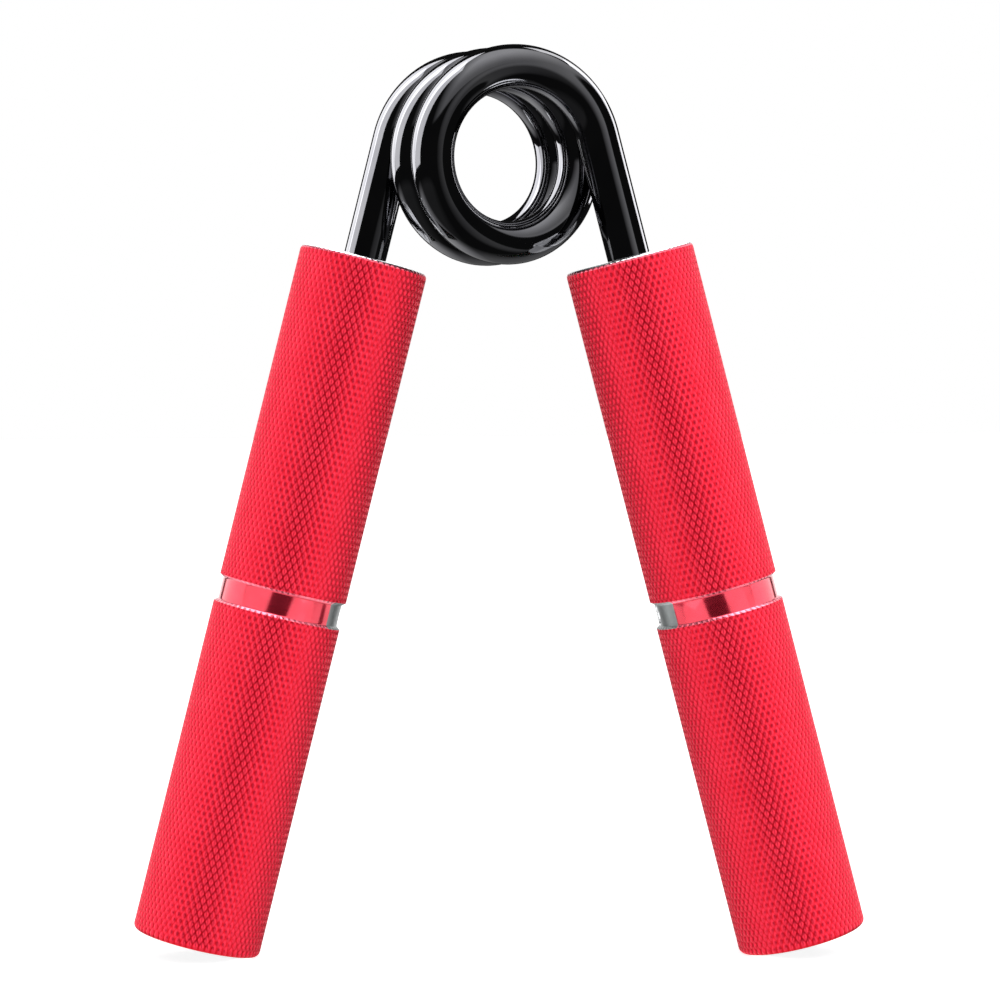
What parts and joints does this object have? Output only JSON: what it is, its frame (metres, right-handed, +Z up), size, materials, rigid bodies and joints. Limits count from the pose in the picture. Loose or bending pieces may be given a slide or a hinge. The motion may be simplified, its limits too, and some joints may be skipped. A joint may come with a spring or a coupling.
{
  "type": "hand grip strengthener",
  "caption": "A-shaped hand grip strengthener: a torsion spring of thick gloss black wire whose legs carry straight red knurled metal grips with a polished band at mid-length.",
  "frame": {"origin": "on the surface that the upright grips' lower ends stand on, at the middle of the bounding box, straight under the centre of the coil", "axes": "+Z up from the open ends of the grips to the coil, +X from the left (palm) grip to the right (finger) grip, +Y along the hinge axis, away from the viewer"},
  "size_m": [0.1072, 0.0262, 0.1331],
  "materials": {
    "spring_steel": "gloss black chrome over spring steel",
    "red_anodised": "red anodised, diamond knurled, with a polished band",
    "bright_metal": "bare, fine turned",
    "nylon": "natural nylon",
    "plug_plastic": "moulded, matt",
    "screw_steel": "black oxide"
  },
  "bodies": {
    "palm_side": {"grip_tube_left": "red_anodised", "top_bush_left": "bright_metal", "core_sleeve_left": "nylon", "set_screw_left": "screw_steel", "end_plug_left": "plug_plastic", "spring_leg_left": "spring_steel", "spring_coil": "spring_steel"},
    "finger_side": {"grip_tube_right": "red_anodised", "top_bush_right": "bright_metal", "core_sleeve_right": "nylon", "set_screw_right": "screw_steel", "end_plug_right": "plug_plastic", "spring_leg_right": "spring_steel"}
  },
  "joints": [
    {"name": "squeeze", "type": "hinge", "parent": "palm_side", "child": "finger_side", "pos_m": [0, 0, 0.11728], "axis": [0, 1, 0], "range_deg": [0, 34], "stiffness_Nm_per_rad": 77.4, "deforming": ["spring_coil"]}
  ]
}
